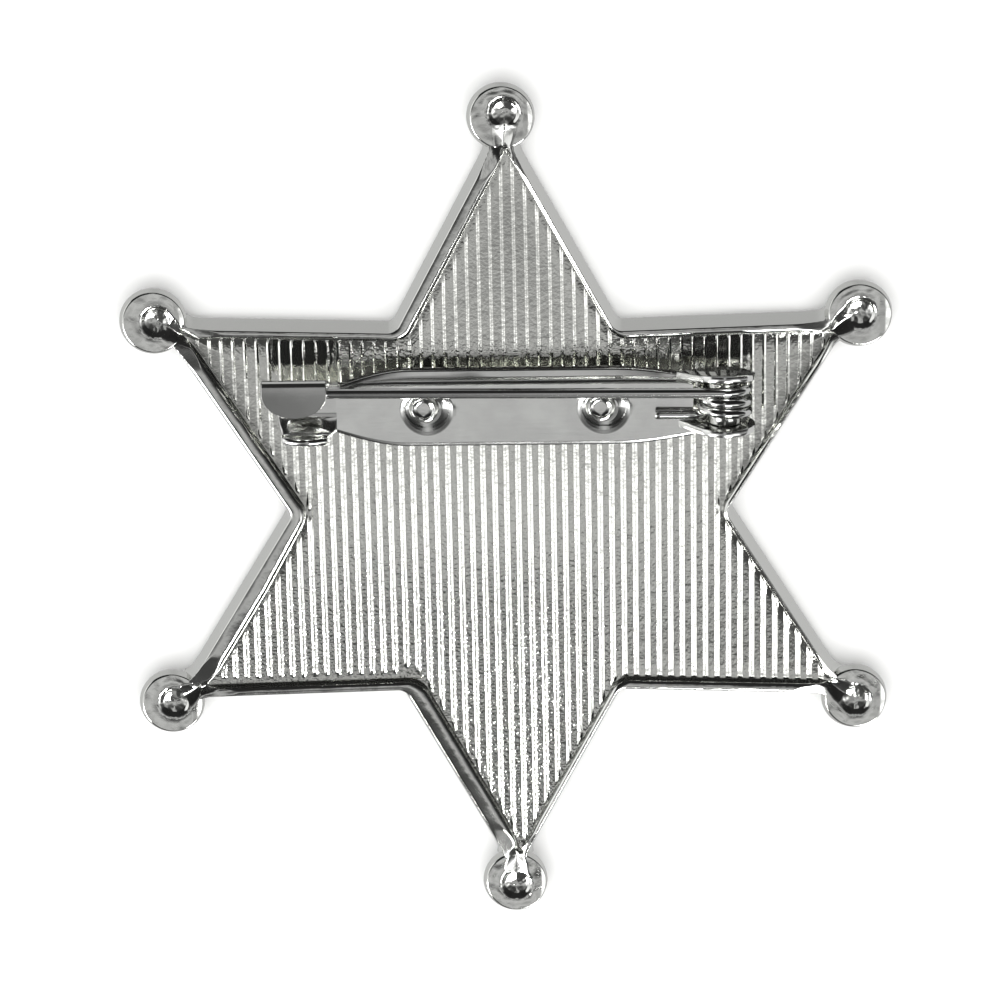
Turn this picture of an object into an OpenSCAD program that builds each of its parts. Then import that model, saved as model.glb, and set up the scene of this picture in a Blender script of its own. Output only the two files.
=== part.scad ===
// Sheriff star badge: a cast six-pointed star with ball tips, lying on its
// front, with a riveted bar pin on its back. Millimetres, +Z up out of the
// back, +Y towards the upper tip, origin under the middle on the ground.

/* [Star] */
// Distance from the middle to the centre of each ball tip
tip_reach = 30; // [24:0.5:40]
// Distance from the middle to each inner corner of the outline
notch_reach = 16.73; // [14:0.1:20]
// Radius that softens each inner corner of the outline
notch_r = 0.5; // [0.2:0.1:1]
// Thickness of the cast sheet between its front and its ridged back
sheet_t = 1.3; // [0.9:0.1:2]
// Depth of the plain border step on the front
front_step = 0.35; // [0.2:0.05:0.6]
// Width of the plain border on the front
front_border_w = 1.4; // [1:0.1:2]
// Height of the border crest above the ridged back
crest_h = 0.8; // [0.5:0.1:1.2]
// Width of the flared side from the outline to the crest
flare_w = 0.5; // [0.3:0.05:0.8]
// Width of the rounded crest
crest_w = 0.3; // [0.2:0.05:0.5]
// Width of the slope from the crest down to the ridged back
slope_w = 0.55; // [0.4:0.05:1]

/* [Ridges] */
// Distance from one ridge to the next
ridge_pitch = 0.87; // [0.7:0.01:1.4]
// Width of a ridge at its foot
ridge_foot_w = 0.42; // [0.3:0.02:0.6]
// Width of the crown of a ridge
ridge_crown_w = 0.12; // [0.08:0.02:0.25]
// Height of a ridge
ridge_h = 0.2; // [0.1:0.02:0.35]

/* [Ball tips] */
// Diameter of each ball
ball_d = 4.8; // [4:0.1:6]
// Height of a ball's straight rim above its widest circle
ball_rim_h = 0.45; // [0.2:0.05:0.8]
// Width of the flat lip round a ball's dished back
ball_lip_w = 0.25; // [0.15:0.05:0.4]
// Depth of the shallow dish inside that lip
dish_depth = 0.35; // [0.2:0.05:0.5]
// Diameter of the round pit in the middle of the dish
pit_d = 2.5; // [2:0.1:3.4]
// Width of the channel from the pit to the ridged back
channel_w = 0.8; // [0.5:0.05:1.2]

/* [Bar plate] */
// Place of the bar's middle along X
bar_x = 0.5; // [-2:0.1:2]
// Place of the bar's middle line along Y
bar_y = 8.75; // [6:0.05:10]
// Height of the two posts from the ridged back to the bar
post_h = 2; // [1.5:0.1:3]
// Thickness of the bar's sheet
bar_t = 0.6; // [0.5:0.05:0.9]
// Depth of the turned-down edge of the bar
bar_edge_h = 1.2; // [1:0.05:1.6]
// Width of the bar at its middle
bar_w = 5.8; // [5:0.1:7]
// Width of the bar's narrow end, beside the catch
bar_catch_w = 3.5; // [3:0.1:4.5]
// Width of the bar's other end, beside the spring
bar_spring_w = 4.4; // [4:0.1:5]
// Length of the bar from its middle to the catch
bar_left = 12.9; // [12:0.1:15]
// Length of the bar from its middle to the spring
bar_right = 13.3; // [12:0.1:15]
// Length of the full-width middle of the bar
bar_full_l = 15; // [13.5:0.5:17]

/* [Rivets] */
// Distance between the two rivets
rivet_pitch = 13; // [12:0.5:16]
// Diameter of the shoulder that the bar sits on
shoulder_d = 3.2; // [2.6:0.1:3.8]
// Diameter of the rivet's shank
shank_d = 1.7; // [1.4:0.1:2]
// Diameter of the peened head
head_d = 2.5; // [2.4:0.1:2.9]
// Diameter of the dimple that the head sits in
dimple_d = 3.7; // [3.4:0.1:4]
// Diameter of the punched cup in the head
cup_d = 1.7; // [0.8:0.1:1.9]

/* [Catch] */
// Length of the catch along the bar
catch_l = 4.8; // [4:0.1:6]
// Thickness of the catch's sheet
catch_t = 0.5; // [0.4:0.05:0.7]
// Reach of the rounded flap over the stem
flap_reach = 2.6; // [2.2:0.1:3]
// Outer radius of the bend between wall and flap
flap_bend_r = 0.7; // [0.6:0.05:0.9]
// Length of the curled guard lip
lip_l = 4.7; // [4:0.1:5.5]
// Outer radius of the curled guard lip
lip_r = 1.6; // [1.2:0.1:2]
// Diameter of the bead along the guard lip's edge
lip_bead_d = 0.7; // [0.6:0.05:0.9]

/* [Pin and spring] */
// Diameter of the spring wire
wire_d = 0.75; // [0.6:0.05:0.9]
// Outer diameter of the coil
coil_d = 4.06; // [3.6:0.02:4.6]
// Distance from the bar's middle to the coil's axis
coil_out = 15.6; // [15.3:0.05:17]
// Height of the coil's axis above the bar's face
coil_rise = 0.75; // [0.6:0.05:1.2]
// Length of the stem from the coil's axis to its point
stem_l = 33; // [31.5:0.1:34]
// Slope of the closed stem down towards the catch, in degrees
stem_drop = 1.8; // [1.2:0.1:2.2]
// Length of the ground point of the stem
point_l = 3; // [2:0.1:5]
// Distance of the stem from the bar's middle line
stem_off = 1.68; // [1.4:0.02:1.8]
// Turns of the coil after its first
coil_turns = 1.7; // [1.6:0.05:1.8]
// Length of the spring's tail along the bar's face
tail_l = 2.3; // [1.5:0.1:5]
// Thickness of the two ears that hold the coil
ear_t = 0.5; // [0.4:0.05:0.7]
// Space between the two ears
ear_gap = 3.15; // [2.9:0.05:3.3]
// Height of an ear's rim beyond the coil
ear_rim = 0.2; // [0.1:0.05:0.4]

/* [Fits] */
// Gap between pieces that touch on the real badge
seat_gap = 0.03; // [0.02:0.01:0.06]
// Radial running clearance between the coil and the hinge rivet
run_gap = 0.06; // [0.03:0.01:0.09]
// Gap between the closed stem and the flap over it
flap_gap = 0.15; // [0.1:0.05:0.3]

/* [Hidden] */
nickel = [0.78, 0.77, 0.74];
steel = [0.70, 0.70, 0.70];
spring_steel = [0.55, 0.56, 0.58];
round_fn = 48;
points = 6;
sector = 360 / points;
arc_steps = 4;
taper_steps = 5;
coil_steps = 44;
bend_steps = 6;
wire_sides = 10;
eps = 0.01;

// Heights, worked up from the ground under the balls
ball_r = ball_d / 2;
ball_top = ball_r + ball_rim_h;
crest_z = ball_top + 0.15;
field_z = crest_z - crest_h;
front_z = field_z - sheet_t;
post_top = field_z + post_h;
bar_face = post_top + bar_t;
coil_z = bar_face + coil_rise;

// Angles of the outline, and how far its corners move for each unit of inset
tip_half = atan2(
    notch_reach * sin(sector / 2),
    tip_reach - notch_reach * cos(sector / 2)
);
notch_half = 180 - sector / 2 - tip_half;
notch_turn = notch_half - 90;
tip_shift = 1 / sin(tip_half);
notch_centre = notch_reach + notch_r / sin(notch_half);
field_inset = flare_w + crest_w + slope_w;

// How deep the ridges are rooted in the sheet, and how far they run into the slope
ridge_root = 0.3;
ridge_bury = 0.15;
valley_lift = 0.02;
seat_wall = 0.15;

// Rivets
hole_d = shank_d + 2 * seat_gap;
dimple_depth = bar_t / 2;
cup_rise = 0.4 * cup_d;
bar_round = bar_t * 0.75;

// Spring, stem and ears
coil_x = bar_x + coil_out;
coil_r = (coil_d - wire_d) / 2;
coil_pitch = wire_d + seat_gap + 0.01;
coil_start = 0.5 + 0.005;
stem_y = bar_y + stem_off;
ear_high_y = stem_y + wire_d / 2 + 0.1;
ear_low_y = ear_high_y - ear_gap - ear_t;
ear_root = 1.2;
tail_z = bar_face + wire_d / 2 + seat_gap;
tail_bend = 0.35;
axle_end_d = 1.4;
axle_head_d = 2.2;

// Catch: its flap clears the closed stem where the stem first passes under it
catch_x = bar_x - bar_left - catch_l - 0.5;
lip_x = bar_x - bar_left - lip_l + 0.35;
stem_at_catch = coil_z + coil_r * cos(stem_drop)
    - (coil_x - catch_x - catch_l) * tan(stem_drop) + wire_d / 2;
flap_top = stem_at_catch + flap_gap + catch_t;

// Sum of one column of a table over its first k rows
function sum_of(table, k, column) =
    k == 0 ? 0 : table[k - 1][column] + sum_of(table, k - 1, column);

function polar(r, a) = [r * cos(a), r * sin(a)];

// One sixth of the outline: a tip, then the softened inner corner after it
function star_sector(inset, i) = let (
        a_tip = 90 + i * sector,
        a_notch = a_tip + sector / 2,
        r = notch_r + inset
    ) concat(
        [polar(tip_reach - inset * tip_shift, a_tip)],
        [for (k = [0 : arc_steps])
            polar(notch_centre, a_notch)
            + polar(r, a_notch + 180 + notch_turn * (1 - 2 * k / arc_steps))]
    );
function star_ring(inset) = [for (i = [0 : points - 1]) each star_sector(inset, i)];
function lift(ring, z) = [for (p = ring) [p[0], p[1], z]];

// Half the bar's width at distance u from its middle: full, then eased to each end
function bar_half(u) =
    u < -bar_full_l / 2
        ? bar_catch_w / 2 + (bar_w - bar_catch_w) / 2
            * sin(90 * (bar_left + u) / (bar_left - bar_full_l / 2))
        : u > bar_full_l / 2
            ? bar_spring_w / 2 + (bar_w - bar_spring_w) / 2
                * sin(90 * (bar_right - u) / (bar_right - bar_full_l / 2))
            : bar_w / 2;
function bar_stations() = concat(
        [for (k = [0 : taper_steps]) -bar_left + k * (bar_left - bar_full_l / 2) / taper_steps],
        [for (k = [0 : taper_steps]) bar_full_l / 2 + k * (bar_right - bar_full_l / 2) / taper_steps]
    );
function bar_ring(inset) = let (
        us = bar_stations(),
        n = len(us),
        along = [for (u = us) max(-bar_left + inset, min(bar_right - inset, u))]
    ) concat(
        [for (k = [0 : n - 1]) [bar_x + along[k], bar_y - bar_half(us[k]) + inset]],
        [for (k = [n - 1 : -1 : 0]) [bar_x + along[k], bar_y + bar_half(us[k]) - inset]]
    );

// Spring wire: from the end of the stem's half turn it drops one pitch to the next
// turn's top, and then winds on to the bend down onto the bar
function coil_point(turn) = [
        coil_x + coil_r * sin(360 * turn - stem_drop),
        stem_y - coil_pitch * (turn < 1 ? (1 - cos(180 * (2 * turn - 1))) / 2 : turn),
        coil_z + coil_r * cos(360 * turn - stem_drop)
    ];
function bezier(p, t) =
    pow(1 - t, 3) * p[0] + 3 * t * pow(1 - t, 2) * p[1]
    + 3 * t * t * (1 - t) * p[2] + pow(t, 3) * p[3];
function spring_path() = let (
        last = 1 + coil_turns,
        foot = coil_point(last),
        away = [cos(360 * last - stem_drop), 0, -sin(360 * last - stem_drop)],
        landing = [bar_x + bar_right - tail_bend, foot[1], tail_z],
        bend = [foot, foot + away * tail_bend, landing + [tail_bend, 0, 0], landing]
    ) concat(
        [for (k = [0 : coil_steps - 1])
            coil_point(coil_start + (last - coil_start) * k / coil_steps)],
        [for (k = [0 : bend_steps]) bezier(bend, k / bend_steps)],
        [[landing[0] - tail_l, foot[1], tail_z]]
    );
function wire_ring(path, k) = let (
        n = len(path) - 1,
        along = path[min(k + 1, n)] - path[max(k - 1, 0)],
        t = along / norm(along),
        out = cross(t, [0, 1, 0]),
        side = out / norm(out),
        top = cross(side, t)
    ) [for (j = [0 : wire_sides - 1])
        path[k] + wire_d / 2 * (side * cos(360 * j / wire_sides) + top * sin(360 * j / wire_sides))];

// Where a straight edge from point a touches a circle of radius r about o
function touch(a, o, r, side) = let (
        v = a - o,
        turn = atan2(v[1], v[0]) + side * acos(r / norm(v))
    ) o + polar(r, turn);

function middle(ring) = [for (axis = [0 : 2]) sum_of(ring, len(ring), axis) / len(ring)];

// Skins a stack of rings with equal point counts, and closes both ends with fans
module loft(rings) {
    n = len(rings[0]);
    m = len(rings);
    polyhedron(
        points = concat([for (r = rings) each r], [middle(rings[0]), middle(rings[m - 1])]),
        faces = concat(
            [for (k = [0 : n - 1]) [m * n, k, (k + 1) % n]],
            [for (j = [0 : m - 2]) for (k = [0 : n - 1])
                [j * n + k, (j + 1) * n + k, (j + 1) * n + (k + 1) % n, j * n + (k + 1) % n]],
            [for (k = [0 : n - 1]) [m * n + 1, (m - 1) * n + (k + 1) % n, (m - 1) * n + k]]
        ),
        convexity = 8
    );
}

// Extrudes a drawing of Y and Z along X
module along_x(length) {
    rotate([90, 0, 90])
        linear_extrude(length)
            children();
}

// Extrudes a drawing of X and Z along +Y
module along_y(length) {
    translate([0, length, 0])
        rotate([90, 0, 0])
            linear_extrude(length)
                children();
}

// Cast sheet with its front border, flared side, rounded crest and inner slope
module star_sheet() {
    crest = [for (a = [0 : 45 : 180])
        [flare_w + crest_w / 2 * (1 - cos(a)), crest_z - crest_w / 2 * (1 - sin(a))]];
    rows = concat(
        [
            [front_border_w + front_step, front_z],
            [front_border_w, front_z - front_step],
            [front_step, front_z - front_step],
            [0, front_z],
            [0, front_z + front_step]
        ],
        crest,
        [[field_inset, field_z]]
    );
    loft([for (row = rows) lift(star_ring(row[0]), row[1])]);
}

// Upright ridges across the back, which die into the inner slope
module ridges() {
    count = floor((tip_reach - field_inset * tip_shift) * cos(sector / 2) / ridge_pitch);
    reach = (count + 1) * ridge_pitch;
    profile = concat(
        [[reach, -ridge_root], [-reach, -ridge_root], [-reach, valley_lift]],
        [for (i = [-count : count]) each [
            [i * ridge_pitch - ridge_foot_w / 2, valley_lift],
            [i * ridge_pitch - ridge_crown_w / 2, ridge_h],
            [i * ridge_pitch + ridge_crown_w / 2, ridge_h],
            [i * ridge_pitch + ridge_foot_w / 2, valley_lift]
        ]],
        [[reach, valley_lift]]
    );
    intersection() {
        translate([0, -tip_reach, field_z])
            along_y(2 * tip_reach)
                polygon(profile);
        translate([0, 0, field_z - ridge_root])
            linear_extrude(ridge_root + crest_h)
                polygon(star_ring(field_inset - ridge_h * slope_w / crest_h - ridge_bury));
    }
}

// Turned ball: round front, straight rim, and a shallow dish with a round pit
module ball() {
    dish_z = ball_top - dish_depth;
    rotate_extrude($fn = round_fn)
        difference() {
            union() {
                intersection() {
                    translate([0, ball_r])
                        circle(ball_r, $fn = round_fn);
                    square([ball_r, ball_r]);
                }
                translate([0, ball_r])
                    square([ball_r, ball_rim_h]);
            }
            polygon([
                [0, dish_z],
                [pit_d / 2, dish_z],
                [ball_r - ball_lip_w, ball_top],
                [ball_r - ball_lip_w, ball_top + 1],
                [0, ball_top + 1]
            ]);
            translate([0, dish_z])
                circle(d = pit_d, $fn = round_fn);
        }
}

// Stepped bore that clears the sheet out of a ball's hollow, inside its round wall
module ball_seat() {
    for (step = [[ball_r - seat_wall, ball_r * 0.7], [pit_d / 2 + seat_wall, ball_r * 0.35]])
        translate([0, 0, step[1]])
            cylinder(h = crest_z, r = step[0], $fn = round_fn);
}

// Narrow way from a ball's pit to the ridged back, between the two crests
module ball_channel() {
    translate([-channel_w / 2, -field_inset * tip_shift - channel_w, field_z + valley_lift])
        cube([channel_w, field_inset * tip_shift + channel_w, crest_z]);
}

module at_tips() {
    for (i = [0 : points - 1])
        rotate([0, 0, i * sector])
            translate([0, tip_reach, 0])
                children();
}

// Post with a wide foot, a shoulder under the bar and a peened, cupped head
module rivet_post() {
    head_z = bar_face - dimple_depth + seat_gap;
    neck_h = dimple_depth * (head_d - shank_d) / (dimple_d - hole_d);
    translate([0, 0, field_z - ridge_root])
        cylinder(h = ridge_root + ridge_h, d = shoulder_d + 2 * ridge_h, $fn = round_fn);
    translate([0, 0, field_z])
        cylinder(h = post_h - seat_gap, d = shoulder_d, $fn = round_fn);
    difference() {
        union() {
            translate([0, 0, post_top - post_h / 2])
                cylinder(h = head_z - post_top + post_h / 2, d = shank_d, $fn = round_fn);
            translate([0, 0, head_z])
                cylinder(h = neck_h, d1 = shank_d, d2 = head_d, $fn = round_fn);
            translate([0, 0, head_z + neck_h])
                cylinder(h = dimple_depth - neck_h, d = head_d, $fn = round_fn);
        }
        translate([0, 0, head_z + dimple_depth + cup_rise])
            sphere(norm([cup_d / 2, cup_rise]), $fn = round_fn);
    }
}

module at_rivets() {
    for (side = [-1, 1])
        translate([bar_x + side * rivet_pitch / 2, bar_y, 0])
            children();
}

module star_body() {
    color(nickel)
        union() {
            difference() {
                union() {
                    star_sheet();
                    ridges();
                }
                at_tips() {
                    ball_seat();
                    ball_channel();
                }
            }
            at_tips()
                difference() {
                    ball();
                    ball_channel();
                }
            at_rivets()
                rivet_post();
        }
}

// Bar with turned-down edges, hollow below, dimpled round the two rivets
module bar_sheet() {
    rows = [
        [0, bar_face - bar_edge_h],
        [0, bar_face - bar_t],
        [bar_round / 4, bar_face - bar_round / 2],
        [bar_round, bar_face]
    ];
    difference() {
        loft([for (row = rows) lift(bar_ring(row[0]), row[1])]);
        translate([0, 0, bar_face - bar_edge_h - eps])
            linear_extrude(bar_edge_h - bar_t + eps)
                polygon(bar_ring(bar_t));
        at_rivets()
            translate([0, 0, bar_face - bar_edge_h])
                cylinder(h = bar_edge_h + 1, d = hole_d, $fn = round_fn);
        at_rivets()
            translate([0, 0, bar_face - dimple_depth])
                cylinder(h = dimple_depth, d1 = hole_d, d2 = dimple_d, $fn = round_fn);
    }
}

// Upright wall that bends over into a flap with a rounded free edge
module catch_hook() {
    outer_y = bar_y + bar_w / 2;
    bend_y = outer_y - flap_bend_r;
    bend_z = flap_top - flap_bend_r;
    intersection() {
        translate([catch_x, 0, 0])
            along_x(catch_l) {
                translate([outer_y - catch_t, bar_face - catch_t])
                    square([catch_t, bend_z - bar_face + catch_t]);
                translate([bend_y, bend_z])
                    intersection() {
                        difference() {
                            circle(flap_bend_r, $fn = round_fn);
                            circle(flap_bend_r - catch_t, $fn = round_fn);
                        }
                        square(flap_bend_r);
                    }
                translate([outer_y - flap_reach, flap_top - catch_t])
                    square([flap_reach - flap_bend_r, catch_t]);
            }
        translate([catch_x + catch_l / 2, bend_y, 0])
            linear_extrude(flap_top + 1)
                polygon(concat(
                    [[catch_l / 2, flap_bend_r], [-catch_l / 2, flap_bend_r]],
                    [for (a = [180 : 15 : 360])
                        [catch_l / 2 * cos(a), (flap_reach - flap_bend_r) * sin(a)]]
                ));
    }
}

// Floor of the catch and the guard lip that curls up from it, with a beaded edge
module guard_lip() {
    lip_y = bar_y - bar_w / 2 + lip_r;
    lip_z = bar_face - catch_t + lip_r;
    outer_y = bar_y + bar_w / 2;
    translate([lip_x, 0, 0])
        along_x(lip_l) {
            translate([lip_y, bar_face - catch_t])
                square([outer_y - lip_y, catch_t]);
            translate([lip_y, lip_z])
                intersection() {
                    difference() {
                        circle(lip_r, $fn = round_fn);
                        circle(lip_r - catch_t, $fn = round_fn);
                    }
                    translate([-lip_r, -lip_r])
                        square(lip_r);
                }
            translate([lip_y - lip_r + catch_t / 2, lip_z])
                circle(d = lip_bead_d, $fn = round_fn);
        }
}

// Ear beside the coil: a round end with straight edges back to the bar
module ear(y) {
    axis = [coil_x, coil_z];
    ear_r = coil_d / 2 + ear_rim;
    root_x = bar_x + bar_right - ear_root;
    high = [root_x, bar_face];
    low = [root_x, bar_face - bar_t];
    translate([0, y, 0])
        difference() {
            along_y(ear_t) {
                translate(axis)
                    circle(ear_r, $fn = round_fn);
                polygon([low, touch(low, axis, ear_r, 1), axis, touch(high, axis, ear_r, -1), high]);
            }
            translate([coil_x, -1, coil_z])
                rotate([-90, 0, 0])
                    cylinder(h = ear_t + 2, d = axle_end_d + 2 * seat_gap, $fn = round_fn);
        }
}

module bar_plate() {
    color(steel)
        union() {
            bar_sheet();
            catch_hook();
            guard_lip();
            ear(ear_high_y);
            ear(ear_low_y);
        }
}

// Stem with its ground point, and the half turn of the coil that swings with it
module pin_stem() {
    color(spring_steel)
        translate([coil_x, stem_y, coil_z])
            rotate([0, -stem_drop, 0]) {
                rotate([90, 0, 0])
                    rotate([0, 0, -90])
                        rotate_extrude(angle = 180, $fn = 2 * round_fn)
                            translate([coil_r, 0])
                                circle(d = wire_d, $fn = round_fn);
                translate([0, 0, coil_r])
                    rotate([0, -90, 0])
                        rotate_extrude($fn = round_fn)
                            polygon([
                                [0, 0],
                                [wire_d / 2, 0],
                                [wire_d / 2, stem_l - point_l],
                                [wire_d / 10, stem_l],
                                [0, stem_l]
                            ]);
            }
}

// The turns that stay with the bar, and the tail that bears on it
module spring_coil() {
    path = spring_path();
    color(spring_steel)
        loft([for (k = [0 : len(path) - 1]) wire_ring(path, k)]);
}

// Rivet through both ears: a thick middle in the coil, thin ends and two heads
module hinge_rivet() {
    head_h = ear_t * 0.6;
    stack = [
        [head_h, axle_head_d],
        [ear_t + 2 * seat_gap, axle_end_d],
        [ear_gap - 2 * seat_gap, 2 * (coil_r - wire_d / 2 - run_gap)],
        [ear_t + 2 * seat_gap, axle_end_d],
        [head_h, axle_head_d]
    ];
    start = ear_low_y - seat_gap - head_h;
    color(steel)
        for (k = [0 : len(stack) - 1])
            translate([coil_x, start + sum_of(stack, k, 0), coil_z])
                rotate([-90, 0, 0])
                    cylinder(h = stack[k][0], d = stack[k][1], $fn = round_fn);
}

star_body();
bar_plate();
pin_stem();
spring_coil();
hinge_rivet();
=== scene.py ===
# %% [markdown]
# # A cast star badge, seen from its back
# The badge lies on its front, so what shows is the ridged back of a cast star,
# six hollow ball tips, and the riveted bar pin that holds it on a shirt.
# Every shape below is a surface worked out with numpy, in millimetres, and
# turned into metres when it becomes a mesh.

# %% Load the frame
import bmesh
import bpy
import math
import numpy as np
from mathutils import Matrix


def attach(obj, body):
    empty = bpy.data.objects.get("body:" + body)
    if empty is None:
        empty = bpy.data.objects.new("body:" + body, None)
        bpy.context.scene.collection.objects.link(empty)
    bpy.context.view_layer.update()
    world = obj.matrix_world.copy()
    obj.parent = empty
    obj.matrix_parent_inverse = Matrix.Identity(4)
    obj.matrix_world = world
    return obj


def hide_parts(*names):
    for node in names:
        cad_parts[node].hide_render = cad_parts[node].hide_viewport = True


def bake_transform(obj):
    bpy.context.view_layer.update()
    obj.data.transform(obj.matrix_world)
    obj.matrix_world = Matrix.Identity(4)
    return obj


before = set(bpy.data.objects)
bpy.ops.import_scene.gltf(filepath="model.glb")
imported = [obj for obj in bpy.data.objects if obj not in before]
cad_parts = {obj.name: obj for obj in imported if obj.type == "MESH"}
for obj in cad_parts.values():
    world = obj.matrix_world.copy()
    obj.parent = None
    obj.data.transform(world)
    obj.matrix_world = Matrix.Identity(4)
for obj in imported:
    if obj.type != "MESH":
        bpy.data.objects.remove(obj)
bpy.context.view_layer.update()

# %% [markdown]
# ## Camera
# The photograph looks almost straight down, from the side of the upper tip, and
# the picture is turned so that this tip is at the top. The place, the roll and
# the lens come from fitting the star's corners and the pin's rivets.

# %% Camera
MM = 0.001
elevation, azimuth, roll = (math.radians(a) for a in (72.16, 6.48, -1.18))
aim, distance, focal_length = np.array([-0.61, 0.79, 2.0]), 261.8, 125.8
toward = np.array([
    math.cos(elevation) * math.sin(azimuth),
    math.cos(elevation) * math.cos(azimuth),
    math.sin(elevation),
])
right = np.cross(-toward, [0, 1, 0])
right /= np.linalg.norm(right)
up = np.cross(right, -toward)
right, up = (
    math.cos(roll) * right + math.sin(roll) * up,
    math.cos(roll) * up - math.sin(roll) * right,
)
eye = aim + distance * toward
lens_data = bpy.data.cameras.new("photo_camera")
lens_data.lens = focal_length
lens_data.clip_start = 0.01
camera = bpy.data.objects.new("photo_camera", lens_data)
bpy.context.collection.objects.link(camera)
camera.matrix_world = Matrix.Translation(eye * MM) @ Matrix(
    [list(row) for row in np.stack([right, up, toward], axis=1)]
).to_4x4()
bpy.context.scene.camera = camera
print("camera", np.round(eye, 1), "mm from the middle of the badge")

# %% [markdown]
# ## From arrays to meshes
# A piece is made of a few shells. A shell is a grid of points, closed round or
# open, whose ends are shut with fans. The sign of the volume inside a closed
# shell tells whether its faces point outwards, and they are turned if not.

# %% Mesh helpers
def grid_quads(ids, around=False):
    """Quads between neighbouring rows and columns of an array of point numbers."""
    if around:
        ids = np.concatenate([ids, ids[:, :1]], axis=1)
    return np.stack(
        [ids[:-1, :-1], ids[:-1, 1:], ids[1:, 1:], ids[1:, :-1]], axis=-1
    ).reshape(-1, 4)


def tube(points):
    """Closes a (rows, columns, 3) grid round its columns and shuts both end rows
    with fans from their middles. Returns points, quads and triangles."""
    rows, columns = points.shape[:2]
    ids = np.arange(rows * columns).reshape(rows, columns)
    flat = points.reshape(-1, 3)
    ends = np.stack([points[0].mean(axis=0), points[-1].mean(axis=0)])
    first, last = len(flat), len(flat) + 1
    turn = np.roll(np.arange(columns), -1)
    fans = np.concatenate([
        np.stack([np.full(columns, first), ids[0][turn], ids[0]], axis=-1),
        np.stack([np.full(columns, last), ids[-1], ids[-1][turn]], axis=-1),
    ])
    return np.concatenate([flat, ends]), grid_quads(ids, around=True), fans


def outward(points, quads, tris):
    """Turns every face over if the shell's signed volume, the sum of a.(b x c)
    over its triangles, is negative."""
    split = np.concatenate([quads[:, [0, 1, 2]], quads[:, [0, 2, 3]], tris])
    a, b, c = (points[split[:, k]] for k in range(3))
    if np.einsum("ij,ij->", a, np.cross(b, c)) < 0:
        return points, quads[:, ::-1], tris[:, ::-1]
    return points, quads, tris


def make_piece(name, shells, finish, slot, body="badge", crease=35):
    """Joins shells into one mesh object in metres, welds its poles, shades it
    smooth but for edges sharper than crease degrees, and rides it on a body."""
    points, faces, start = [], [], 0
    for shell in shells:
        p, q, t = outward(*shell)
        points.append(p)
        faces += [q + start, t + start]
        start += len(p)
    corners = np.concatenate([f.ravel() for f in faces]).astype(np.int32)
    sizes = np.concatenate([np.full(len(f), f.shape[1]) for f in faces]).astype(np.int32)
    mesh = bpy.data.meshes.new(name)
    mesh.vertices.add(start)
    places = np.concatenate(points) * MM
    mesh.vertices.foreach_set("co", places.astype(np.float32).ravel())
    mesh.loops.add(len(corners))
    mesh.loops.foreach_set("vertex_index", corners)
    mesh.polygons.add(len(sizes))
    mesh.polygons.foreach_set("loop_start", (np.cumsum(sizes) - sizes).astype(np.int32))
    mesh.update(calc_edges=True)
    work = bmesh.new()
    work.from_mesh(mesh)
    bmesh.ops.remove_doubles(work, verts=work.verts, dist=1e-8)
    work.to_mesh(mesh)
    work.free()
    mesh.validate()
    mesh.shade_smooth()
    mesh.set_sharp_from_angle(angle=math.radians(crease))
    mesh.materials.append(finish)
    piece = bpy.data.objects.new(name, mesh)
    bpy.context.collection.objects.link(piece)
    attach(piece, body)
    print(name, len(mesh.vertices), "points,", int((sizes - 2).sum()), "triangles")
    return piece


def rounded(corners, reach, steps=5):
    """Polyline with its inner corners replaced by short parabolas that leave each
    edge at most reach from the corner."""
    corners = np.array(corners, float)
    out = [corners[:1]]
    t = np.linspace(0, 1, steps)[:, None]
    for before, here, after in zip(corners[:-2], corners[1:-1], corners[2:]):
        back, on = before - here, after - here
        a = here + back * min(0.45, reach / np.linalg.norm(back))
        b = here + on * min(0.45, reach / np.linalg.norm(on))
        out.append((1 - t) ** 2 * a + 2 * t * (1 - t) * here + t ** 2 * b)
    out.append(corners[-1:])
    return np.concatenate(out)


def smooth_low(a, b, soft):
    """The lower of a and b, with the crease between them eased over soft."""
    h = np.clip(0.5 + 0.5 * (b - a) / soft, 0, 1)
    return b + (a - b) * h - soft * h * (1 - h)


def ripple(x, y, length, seed=0.0):
    """Even random-looking waves of about that length, from -1 to 1: the mean of
    nine sine waves whose directions step by the golden angle, scaled up."""
    k = np.arange(9)
    turn = 2.39996 * k + seed
    size = 2 * np.pi / (length * (0.7 + 0.09 * k))
    along_x, along_y = size * np.cos(turn) * x[..., None], size * np.sin(turn) * y[..., None]
    return 1.8 * np.sin(along_x + along_y + 5.1 * k + seed).mean(axis=-1)


print("helpers", [f.__name__ for f in (tube, outward, make_piece, rounded, smooth_low, ripple)])

# %% [markdown]
# ## Nickel
# The whole badge is one bright, faintly warm metal. What sets its parts apart is
# how smooth they are: the ridged floor keeps the grain of the mould that it was
# cast in, the border and the balls were tumbled smooth, the bar was pressed from
# rolled sheet and the wire was drawn through a die. So each finish is the same
# metal with its own roughness and its own small bumps, all of them noise.

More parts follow.
